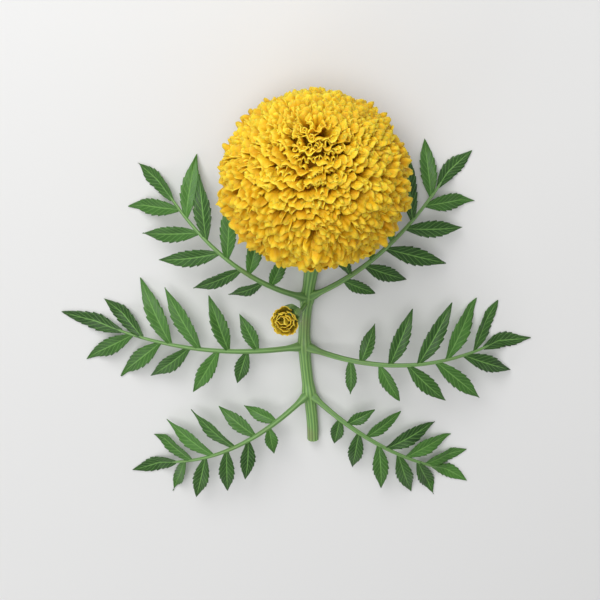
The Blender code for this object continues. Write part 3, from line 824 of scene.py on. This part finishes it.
# %% Grow the stem
STEM_STEPS = 90
stem_stops = [STEM_LENGTH * k / STEM_STEPS for k in range(STEM_STEPS + 1)]
stem_radii = [stem_radius(distance) for distance in stem_stops]
stem_path = path_object("stem_path", [stem_centre(distance) for distance in stem_stops], stem_radii)
stem = grow("stem_stalk", stalk_tree, path=stem_path, sides=66, ribs=11, rib_depth=0.08, finish=stem_skin)
stem.data.set_sharp_from_angle(angle=math.radians(60))
belongs(stem, "stem", "stem")

# %% [markdown]
# Where a stem is cut, its inside shows: wet, pale pith, a ring of darker vein bundles near the outside, and
# the green skin round that. The rings are drawn from the distance to the middle of the cut, on the cap that
# the sweep has closed the stem with.

# %% Cut end


def cut_finish(name, middle, radius):
    """Freshly cut marigold stem: wet pale pith inside a ring of vein bundles and a green skin."""
    made, tree, shader = new_finish(name, {
        "Roughness": 0.3,
        "Subsurface Weight": 0.2,
        "Subsurface Scale": 1.0 * MM,
    })
    spots = add(tree, "ShaderNodeTexCoord").outputs["Object"]
    far = add(tree, VECTOR_MATH, [spots, tuple(middle)], operation="DISTANCE").outputs["Value"]
    share = add(tree, MATH, [far, radius], operation="DIVIDE")
    cells = add(tree, "ShaderNodeTexVoronoi", {"Vector": spots, "Scale": 1 / (0.6 * MM)})
    ragged = add(tree, MATH, [cells, 0.12, share], operation="MULTIPLY_ADD")
    rings = add(tree, "ShaderNodeValToRGB", [ragged])
    ramp = rings.color_ramp
    ramp.elements[0].position, ramp.elements[0].color = 0.50, linear("#D5DBAE")
    ramp.elements[1].position, ramp.elements[1].color = 1.0, linear("#5E8A45")
    ramp.elements.new(0.74).color = linear("#B9C98A")
    ramp.elements.new(0.84).color = linear("#7D9C58")
    tree.links.new(rings.outputs["Color"], shader.inputs["Base Color"])
    bump = add(tree, "ShaderNodeBump", {"Strength": 0.5, "Distance": 0.15 * MM, "Height": cells})
    tree.links.new(bump.outputs["Normal"], shader.inputs["Normal"])
    return made


stem_end = stem_centre(STEM_LENGTH)
stem.data.materials.append(cut_finish("marigold stem, cut", stem_end, stem_radius(STEM_LENGTH)))
for face in stem.data.polygons:
    if len(face.vertices) > 4 and (face.center - stem_end).length < STEM_RADIUS:
        face.material_index = 1
print("cut faces:", sum(face.material_index for face in stem.data.polygons))

# %% [markdown]
# ## The finish of the leaves
#
# A leaflet is matt and deep green above, with a paler rib down its middle and veins that leave it forwards,
# and paler all over beneath. The veins are drawn from the leaflet's own marks: a line where it is near the
# middle, and a rising row of lines on each side.

# %% Leaf materials
VEIN_PAIRS = 9


def leaf_finish(name, dark, light, vein, gloss):
    """Marigold leaflet: matt living leaf with a rib and forward veins, mottled, with a few oil glands."""
    made, tree, shader = new_finish(name, {
        "Roughness": gloss,
        "Specular IOR Level": 0.3,
        "Subsurface Weight": 0.12,
        "Subsurface Radius": (0.4, 1.0, 0.2),
        "Subsurface Scale": 0.8 * MM,
    })
    across, along, _ = add(tree, SEPARATE, [add(tree, "ShaderNodeUVMap", uv_map="UVMap")]).outputs
    spots = add(tree, "ShaderNodeTexCoord").outputs["Object"]
    tint = add(tree, "ShaderNodeAttribute", attribute_name="tint").outputs["Fac"]

    centred = add(tree, MATH, [across, 0.5], operation="SUBTRACT")
    side = add(tree, MATH, [centred], operation="ABSOLUTE")
    rib = add(tree, MAP_RANGE, {"Value": side, "From Min": 0.015, "From Max": 0.055, "To Min": 1.0,
                                "To Max": 0.0})
    ahead = add(tree, MATH, [side, -0.42, along], operation="MULTIPLY_ADD")
    rows = add(tree, MATH, [ahead, VEIN_PAIRS], operation="MULTIPLY")
    saw = add(tree, MATH, [rows, 0.5], operation="PINGPONG")
    vein_line = add(tree, MAP_RANGE, {"Value": saw, "From Min": 0.02, "From Max": 0.13, "To Min": 0.6,
                                      "To Max": 0.0})
    lines = add(tree, MATH, [rib, vein_line], operation="MAXIMUM")
    mottle = add(tree, NOISE, {"Vector": spots, "Scale": 1 / (5 * MM), "Detail": 3.0})
    shade = add(tree, MATH, [mottle, 0.8, tint], operation="MULTIPLY_ADD")
    share = add(tree, MAP_RANGE, {"Value": shade, "From Min": 0.2, "From Max": 1.4})
    blade = add(tree, MIX, [share, linear(dark), linear(light)], data_type="RGBA")
    veined = add(tree, MIX, [lines, blade, linear(vein)], data_type="RGBA")
    glands = add(tree, "ShaderNodeTexVoronoi", {"Vector": spots, "Scale": 1 / (2.2 * MM)})
    dot = add(tree, MAP_RANGE, {"Value": glands, "From Min": 0.06, "From Max": 0.14, "To Min": 0.45,
                                "To Max": 0.0})
    dotted = add(tree, MIX, [dot, veined, linear("#33451E")], data_type="RGBA")
    tree.links.new(dotted.outputs["Result"], shader.inputs["Base Color"])

    grain = add(tree, NOISE, {"Vector": spots, "Scale": 1 / (0.8 * MM), "Detail": 2.0})
    relief = add(tree, MATH, [lines, -0.8, grain], operation="MULTIPLY_ADD")
    bump = add(tree, "ShaderNodeBump", {"Strength": 0.5, "Distance": 0.3 * MM, "Height": relief})
    tree.links.new(bump.outputs["Normal"], shader.inputs["Normal"])
    return made


leaf_green = leaf_finish("marigold leaf, upper face", dark="#203E18", light="#46742E", vein="#6C9A4C",
                         gloss=0.38)
leaf_pale = leaf_finish("marigold leaf, under face", dark="#56784A", light="#7D9E6C", vein="#9DB888",
                        gloss=0.65)
rib_skin = green_skin("marigold leaf rib skin", groove="#47703A", ridge="#7CA45C", flush="#6E7A48",
                      gloss=0.45, speckle=0.0)
print("leaf materials:", leaf_green.name, "and", leaf_pale.name)

# %% [markdown]
# ## One leaflet
#
# A leaflet is a lance with forward teeth, creased along its rib. Its outline is an even swelling curve with a
# saw laid on it, and the rows of points follow the teeth, so that each notch has a point of its own.

# %% Leaflet variants
LEAFLET_LENGTH = 31 * MM
LEAFLET_HALF_WIDTH = 3.9 * MM
TEETH = 8


def leaflet(name, draw, columns):
    """A leaflet as a sheet of full size: its foot at the origin, growing along +Y, its upper face to +Z."""
    swerve = draw.uniform(-0.09, 0.09)
    twist = draw.uniform(-0.5, 0.5)
    crease = draw.uniform(0.16, 0.44)
    sag = draw.uniform(-0.02, 0.10)
    phase = draw.uniform(0, math.tau)
    rows, marks = [], []
    stops = [0.0] + [(k + part) / TEETH for k in range(TEETH) for part in (0.12, 0.55, 0.98)]
    for u in stops:
        # The lance swells and narrows evenly. A tooth grows outwards and stops short, deepest in the middle.
        swell = math.sin(math.pi * min(u * 0.985 + 0.015, 1) ** 0.9) ** 0.95
        tooth = (u * TEETH) % 1
        depth = 0.21 * tooth * math.sin(math.pi * min(u * 1.25, 1)) ** 0.5
        half = LEAFLET_HALF_WIDTH * (max(swell, 0.02) * (0.90 + depth) + 0.16 * (1 - u) ** 6)
        row, mark = [], []
        for j in range(columns + 1):
            v = 2 * j / columns - 1
            forward = 0.030 * tooth * abs(v) ** 3 + 0.012 * abs(v)
            wave = 0.5 * MM * math.sin(3.2 * math.pi * u + phase + 1.3 * v) * abs(v)
            lift = crease * abs(v) * half * (1 - 0.35 * abs(v)) + wave
            roll = twist * u
            row.append((
                v * half * math.cos(roll) - lift * math.sin(roll) + swerve * LEAFLET_LENGTH * u * u,
                (u + forward * (1 - u)) * LEAFLET_LENGTH,
                v * half * math.sin(roll) + lift * math.cos(roll) - sag * LEAFLET_LENGTH * u * u,
            ))
            mark.append((j / columns, u))
        rows.append(row)
        marks.append(mark)
    return sheet_object(name, rows, marks)


leaflets = variants("leaflet", 7, leaflet, columns=8)

# %% [markdown]
# ## The rule that sets them on a leaf
#
# A marigold's leaf is a feather: pairs of leaflets along an arched rib, longest past the middle and leaning
# further forward towards the tip, with one at its end. The tree walks along the rib's curve with a point for
# each leaflet. The curve is De Casteljau's: mixing its three handles twice gives the place, and the last two
# points that are mixed give the way that the rib runs there. The tips then hang, and rest where they touch.

# %% Feather leaf tree


def feather_leaf():
    """The tree that sets leaflets along an arched rib."""
    tree, given = new_recipe("feather leaf", {
        "Leaflets": ("Collection", None),
        "Pairs": ("Int", 5),
        "Start": ("Vector", None),
        "Middle": ("Vector", None),
        "Tip": ("Vector", None),
        "First": ("Float", 0.26),
        "Spacing": ("Float", 0.145),
        "Stagger": ("Float", 0.026),
        "Size": ("Float", 1.0),
        "Longest": ("Float", 2.75),
        "Widest angle": ("Float", math.radians(68)),
        "Narrowing": ("Float", math.radians(6.4)),
        "Roll": ("Float", 0.0),
        "Droop": ("Float", 0.20),
        "Unevenness": ("Float", 0.14),
        "Surface": ("Float", 0.5 * MM),
        "Seed": ("Int", 0),
        "Finish": ("Material", None),
    })
    seeds = [add(tree, MATH, [given["Seed"], k], operation="ADD") for k in range(6)]
    index = add(tree, "GeometryNodeInputIndex")
    parity = add(tree, MATH, [index, 2.0], operation="MODULO")
    hand = add(tree, MATH, [parity, 2.0, -1.0], operation="MULTIPLY_ADD")
    pair = add(tree, MATH, [add(tree, MATH, [index, 0.5], operation="MULTIPLY")], operation="FLOOR")
    paired = add(tree, MATH, [given["Pairs"], 2.0], operation="MULTIPLY")
    at_tip = add(tree, MATH, [index, add(tree, MATH, [paired, 0.5], operation="SUBTRACT")],
                 operation="GREATER_THAN")

    along_pair = add(tree, MATH, [given["Spacing"], pair, given["First"]], operation="MULTIPLY_ADD")
    along_side = add(tree, MATH, [given["Stagger"], hand, along_pair], operation="MULTIPLY_ADD")
    along = add(tree, MIX, [at_tip, along_side, 0.92], data_type="FLOAT")
    first_mix = add(tree, MIX, [along, given["Start"], given["Middle"]], data_type="VECTOR")
    second_mix = add(tree, MIX, [along, given["Middle"], given["Tip"]], data_type="VECTOR")
    roots = add(tree, MIX, [along, first_mix, second_mix], data_type="VECTOR")
    run = add(tree, VECTOR_MATH, [second_mix, first_mix], operation="SUBTRACT")
    forward = add(tree, VECTOR_MATH, [run], operation="NORMALIZE")
    level = add(tree, VECTOR_MATH, [(0, 0, 1), forward], operation="CROSS_PRODUCT")
    level_unit = add(tree, VECTOR_MATH, [level], operation="NORMALIZE")
    beside = add(tree, "ShaderNodeVectorRotate",
                 {"Vector": level_unit, "Axis": forward, "Angle": given["Roll"]})
    normal = add(tree, VECTOR_MATH, [forward, beside], operation="CROSS_PRODUCT")

    narrowed = add(tree, MATH, [given["Narrowing"], pair], operation="MULTIPLY")
    stray = add(tree, CHANCE, {"Min": -1.0, "Max": 1.0, "Seed": seeds[0]}, data_type="FLOAT")
    wide = add(tree, MATH, [given["Widest angle"], narrowed], operation="SUBTRACT")
    strayed = add(tree, MATH, [stray, given["Unevenness"], wide], operation="MULTIPLY_ADD")
    to_side = add(tree, MATH, [strayed, hand], operation="MULTIPLY")
    angle = add(tree, MIX, [at_tip, to_side, 0.0], data_type="FLOAT")
    direction = add(tree, "ShaderNodeVectorRotate", {"Vector": forward, "Axis": normal, "Angle": angle})
    flat = add(tree, "FunctionNodeAxesToRotation", [direction, normal], primary_axis="Y", secondary_axis="Z")
    nod = add(tree, CHANCE, {"Min": -1.2, "Max": 1.2, "Seed": seeds[1]}, data_type="FLOAT")
    tilt = add(tree, CHANCE, {"Min": -2.5, "Max": 2.5, "Seed": seeds[2]}, data_type="FLOAT")
    stray_turn = add(tree, COMBINE, [nod, tilt, 0.0])
    by = add(tree, VECTOR_MATH, [stray_turn, given["Unevenness"]], operation="SCALE")
    own_turn = add(tree, EULER_TURN, [by])
    turned = add(tree, "FunctionNodeRotateRotation", [flat, own_turn], rotation_space="LOCAL")

    # The leaflets grow shorter by the square of how many pairs they are from the longest.
    off_peak = add(tree, MATH, [pair, given["Longest"]], operation="SUBTRACT")
    squared = add(tree, MATH, [off_peak, 2.0], operation="POWER")
    share_side = add(tree, MATH, [squared, -0.055, 1.0], operation="MULTIPLY_ADD")
    share = add(tree, MIX, [at_tip, share_side, 0.95], data_type="FLOAT")
    grown = add(tree, CHANCE, {"Min": 0.88, "Max": 1.06, "Seed": seeds[5]}, data_type="FLOAT")
    long = add(tree, MATH, [add(tree, MATH, [share, given["Size"]], operation="MULTIPLY"), grown],
               operation="MULTIPLY")
    broad = add(tree, MAP_RANGE, {"Value": long, "To Min": 0.55})
    size = add(tree, COMBINE, [broad, long, broad])

    count = add(tree, MATH, [paired, 1.0], operation="ADD")
    points = add(tree, "GeometryNodeMeshLine", {"Count": count, "Offset": (0, 0, 0)})
    placed = add(tree, MOVE, {"Geometry": points, "Position": roots})
    kinds = add(tree, "GeometryNodeCollectionInfo", [given["Leaflets"], True, True])
    pick = add(tree, CHANCE, {"Min": 0, "Max": 99, "Seed": seeds[3]}, data_type="INT")
    blades = add(tree, "GeometryNodeInstanceOnPoints", {
        "Points": placed, "Instance": kinds, "Pick Instance": True, "Instance Index": pick,
        "Rotation": turned, "Scale": size,
    })
    tint = add(tree, CHANCE, {"Seed": seeds[4]}, data_type="FLOAT")
    tinted = add(tree, STORE, {"Geometry": blades, "Name": "tint", "Value": tint},
                 data_type="FLOAT", domain="INSTANCE")
    length = add(tree, MATH, [long, LEAFLET_LENGTH], operation="MULTIPLY")
    sized = add(tree, STORE, {"Geometry": tinted, "Name": "length", "Value": length}, data_type="FLOAT",
                domain="INSTANCE")
    loose = add(tree, "GeometryNodeRealizeInstances", [sized])
    out = add(tree, "GeometryNodeInputNamedAttribute", ["along"], data_type="FLOAT")
    own_length = add(tree, "GeometryNodeInputNamedAttribute", ["length"], data_type="FLOAT")
    hang = add(tree, MATH, [add(tree, MATH, [out, 2.0], operation="POWER"), own_length], operation="MULTIPLY")
    x, y, z = add(tree, SEPARATE, [add(tree, "GeometryNodeInputPosition")]).outputs
    dropped = add(tree, MATH, [hang, given["Droop"]], operation="MULTIPLY")
    hung = add(tree, MATH, [z, dropped], operation="SUBTRACT")
    lifted = add(tree, MATH, [hung, given["Surface"], 1.5 * MM], operation="SMOOTH_MAX")
    rested = add(tree, MOVE, {"Geometry": loose, "Position": add(tree, COMBINE, [x, y, lifted])})
    smooth = add(tree, "GeometryNodeSetShadeSmooth", [rested])
    finished = add(tree, "GeometryNodeSetMaterial", {"Geometry": smooth, "Material": given["Finish"]})
    add(tree, "NodeGroupOutput", [finished])
    return tree


leaf_tree = feather_leaf()
print("feather leaf tree:", len(leaf_tree.nodes), "nodes")

# %% [markdown]
# ## The leaves
#
# The six leaves leave the stem in pairs. Each is given by its node, its side of the stem, its heading in
# degrees from the way that the bloom faces, the height of its arch's handle, its reach, its sideways bow and
# its roll. Its rib is the same curve, swept by the stalk tree. The rib starts thin inside the stem and
# swells at the stem's skin, so the two look grown together.

# %% Grow the leaves
LONGEST_REACH = 90 * MM  # of a leaf, whose leaflets are then of full length
LEAF_TIP_HEIGHT = 2 * MM
LEAF_THICKNESS = 0.35 * MM
RIB_RADIUS = 1.15 * MM
RIB_SPAN = 0.95  # of the leaf's curve
RIB_STEPS = 48  # closer together at its foot, where it flares into the stem
RIB_FLARE = 0.03  # how far along the curve it leaves the stem, and is thickest
LEAVES = {
    "leaf_1": (0, 1, 50, 34 * MM, 82 * MM, 6 * MM, -6),
    "leaf_2": (0, -1, 46, 24 * MM, 84 * MM, 6 * MM, 5),
    "leaf_3": (1, 1, 84, 18 * MM, 90 * MM, 5 * MM, 4),
    "leaf_4": (1, -1, 89, 32 * MM, 88 * MM, 6 * MM, -5),
    "leaf_5": (2, 1, 119, 26 * MM, 78 * MM, 5 * MM, 6),
    "leaf_6": (2, -1, 123, 16 * MM, 76 * MM, 4 * MM, 0),
}


def grow_leaf(number, name, node, side, heading, arch, reach, bow, roll):
    """A leaf's blades and its rib."""
    start = stem_centre(LEAF_NODES[node])
    turned = side * math.radians(heading)
    away = Vector((math.sin(turned), -math.cos(turned), 0))
    beside = Vector((-away.y, away.x, 0)) * side
    middle = start + away * 0.5 * reach + UP * arch + beside * bow
    tip = start + away * reach
    tip.z = LEAF_TIP_HEIGHT
    blades = grow(name + "_blades", leaf_tree, leaflets=leaflets, start=start, middle=middle, tip=tip,
                  size=reach / LONGEST_REACH, roll=math.radians(roll), seed=50 * number, finish=leaf_green)
    belongs(thicken(blades, LEAF_THICKNESS, leaf_pale), "leaf", name)

    stops = [RIB_SPAN * (k / RIB_STEPS) ** 1.3 for k in range(RIB_STEPS + 1)]
    flares = [0.75 * math.exp(-(((q - RIB_FLARE) / 0.035) ** 2)) for q in stops]
    radii = [RIB_RADIUS * (1.25 - 0.75 * q + flare) for q, flare in zip(stops, flares)]
    for k, share in ((0, 0.3), (1, 0.6), (-1, 0.6)):  # its hidden foot and its end are thinner
        radii[k] *= share
    points = [start * (1 - q) ** 2 + middle * 2 * q * (1 - q) + tip * q**2 for q in stops]
    for point, radius in zip(points, radii):
        point.z = max(point.z, radius)
    path = path_object(name + "_path", points, radii)
    rib = grow(name + "_rib", stalk_tree, path=path, sides=15, ribs=5, rib_depth=0.10, finish=rib_skin)
    belongs(rib, "leaf", name)


for number, (name, placing) in enumerate(LEAVES.items()):
    grow_leaf(number, name, *placing)

# %% [markdown]
# ## The side bud
#
# A young bud stands where the first pair of leaves grows, on a thin stalk. Its cup is already ribbed, and its
# first petals are still folded over one another, so the dome tree runs once more with small, inward petals.

# %% Bud
BUD_RADIUS = 5.0 * MM
BUD_LENGTH = 11 * MM
BUD_STALK_RADIUS = 1.2 * MM
BUD_STALK_LENGTH = 20 * MM
BUD_RIBS = 7
bud_lean = Vector((0.30, -0.16, 1)).normalized()
bud_root = stem_centre(LEAF_NODES[0] + 2 * MM)
bud_turn = bud_lean.to_track_quat("Z", "Y").to_matrix().to_4x4()
bud_frame = Matrix.Translation(bud_root + bud_lean * BUD_STALK_LENGTH) @ bud_turn

bud_stops = [k / 24 for k in range(25)]
bud_points = [bud_root + bud_lean * BUD_STALK_LENGTH * q + Vector((0, 2 * MM, 0)) * math.sin(math.pi * q)
              for q in bud_stops]
bud_radii = [BUD_STALK_RADIUS * (1 + 0.9 * q**5 + 0.2 * (1 - q) ** 3) for q in bud_stops]
bud_stalk = grow("bud_stalk", stalk_tree, path=path_object("bud_path", bud_points, bud_radii), sides=24,
                 ribs=6, rib_depth=0.12, finish=stem_skin)
belongs(bud_stalk, "cup", "bud_cup")


def bud_bell(share):
    """The bud cup's outer radius at a share of its height."""
    return BUD_RADIUS * (0.36 + 0.68 * math.sin(math.pi / 2 * min(share * 1.7, 1)) - 0.05 * share**3)


bud_cup = cup_wall("bud_bell", bud_frame, size=5 * MM, ribs=BUD_RIBS, teeth=2.2 * MM, end=-0.1 * BUD_LENGTH,
                   rim=0.98 * BUD_LENGTH, radius_of=bud_bell, wall=0.6 * MM, sides=BUD_RIBS * 12)
bud_cup.data.materials.append(cup_skin)
belongs(bud_cup, "cup", "bud_cup")

bud_petal_kinds = variants("bud_petal", 5, petal, length=6.6 * MM, width=5.2 * MM, fold=0.35,
                           ruffle=0.35 * MM, edge=2.4, lobes=1.3, curl=math.radians(-34), hook=1.5, rows=7,
                           columns=8)
bud_middle = bud_frame @ Vector((0, 0, BUD_LENGTH * 0.80))
bud_petals = grow("bud_tuft", dome_tree, petals=bud_petal_kinds, count=26, total=26, radius=4.1 * MM,
                  crown=3.2 * MM, back=1.0 * MM, reach=1.0, crowding=1.0, root=0.7, lean_at_crown=0.1,
                  lean_at_rim=-0.75, unevenness=0.12, centre=bud_middle, turn=bud_turn.to_euler(), seed=700,
                  finish=bud_yellow)
belongs(thicken(bud_petals, PETAL_THICKNESS), "petal", "bud_petals")
print("the bud stands", round(bud_middle.z / MM), "mm above the surface")

# %% [markdown]
# ## Surface, light and camera
#
# The flower lies on a matt pale board, so large that its edge is out of sight, in a room whose walls are a
# little brighter than its ceiling. A broad lamp beyond the bloom draws the lips of its petals, and a weak one
# lifts its back. The light of a big window overhead comes from a sun with a wide disc, because that lights
# the whole board evenly, as no near lamp could. The camera looks down at the face of the bloom, from above
# its axis.

# %% Surface
BOARD_WIDTH = 40  # in metres
# Matt white board: it has no gloss, so the flower's shadow is all that shows on it.
board, _, _ = new_finish("matt white board", {"Base Color": linear("#DADAD9"), "Roughness": 0.9})
bpy.ops.mesh.primitive_plane_add(size=BOARD_WIDTH)
floor = bpy.context.object
floor.name = "surface"
floor.data.materials.append(board)
print("the surface is", floor.dimensions.x, "m wide")

# %% Room
WALL_GLOW = 0.57  # at the height of the board
CEILING_GLOW = 0.41
world = bpy.data.worlds.new("pale room")
world.use_nodes = True
room = world.node_tree.nodes["Background"]
room.inputs["Color"].default_value = linear("#F4F4F6")
ways = add(world.node_tree, "ShaderNodeTexCoord").outputs["Generated"]
height = add(world.node_tree, SEPARATE, [ways]).outputs["Z"]
glow = add(world.node_tree, MAP_RANGE,
           {"Value": height, "From Max": 0.5, "To Min": WALL_GLOW, "To Max": CEILING_GLOW})
world.node_tree.links.new(glow.outputs["Result"], room.inputs["Strength"])
scene.world = world
scene.view_settings.view_transform = "Standard"
print("the room is lit by", world.name)

# %% Lamps
LAMPS = {  # kind, where it stands from the target in metres, its strength, and its width in metres or degrees
    "key": ("AREA", (0.22, -0.58, 0.48), 3.9, 0.5),
    "back": ("AREA", (0.50, 0.45, 0.32), 0.9, 0.5),
    "window": ("SUN", (0.15, -0.20, 0.90), 1.1, 40),
}
target = (cad_low + cad_high) / 2
target.y -= 14 * MM  # the bloom's end of the flower
for name, (kind, place, strength, width) in LAMPS.items():
    lamp_data = bpy.data.lights.new(name, kind)
    lamp_data.energy = strength
    if kind == "SUN":
        lamp_data.angle = math.radians(width)
    else:
        lamp_data.shape, lamp_data.size = "DISK", width
    lamp = in_scene(name, lamp_data)
    facing = Vector(place).to_track_quat("Z", "Y").to_matrix().to_4x4()
    lamp.matrix_world = Matrix.Translation(target + Vector(place)) @ facing
print("lamps:", ", ".join(LAMPS))

# %% Camera
VIEW_HEIGHT = math.radians(66)  # above the horizon
VIEW_DISTANCE = 0.60
back = Vector((0, -math.cos(VIEW_HEIGHT), math.sin(VIEW_HEIGHT)))
head_up = Vector((0, -math.sin(VIEW_HEIGHT), -math.cos(VIEW_HEIGHT)))
camera_data = bpy.data.cameras.new("camera")
camera_data.lens = 85
camera = in_scene("camera", camera_data)
turn = Matrix((head_up.cross(back), head_up, back)).transposed()
camera.matrix_world = Matrix.Translation(target + back * VIEW_DISTANCE) @ turn.to_4x4()
scene.camera = camera
off_axis = math.degrees(back.angle(bloom_turn.to_3x3() @ UP))
print(f"the camera stands {off_axis:.0f} degrees off the bloom's axis")
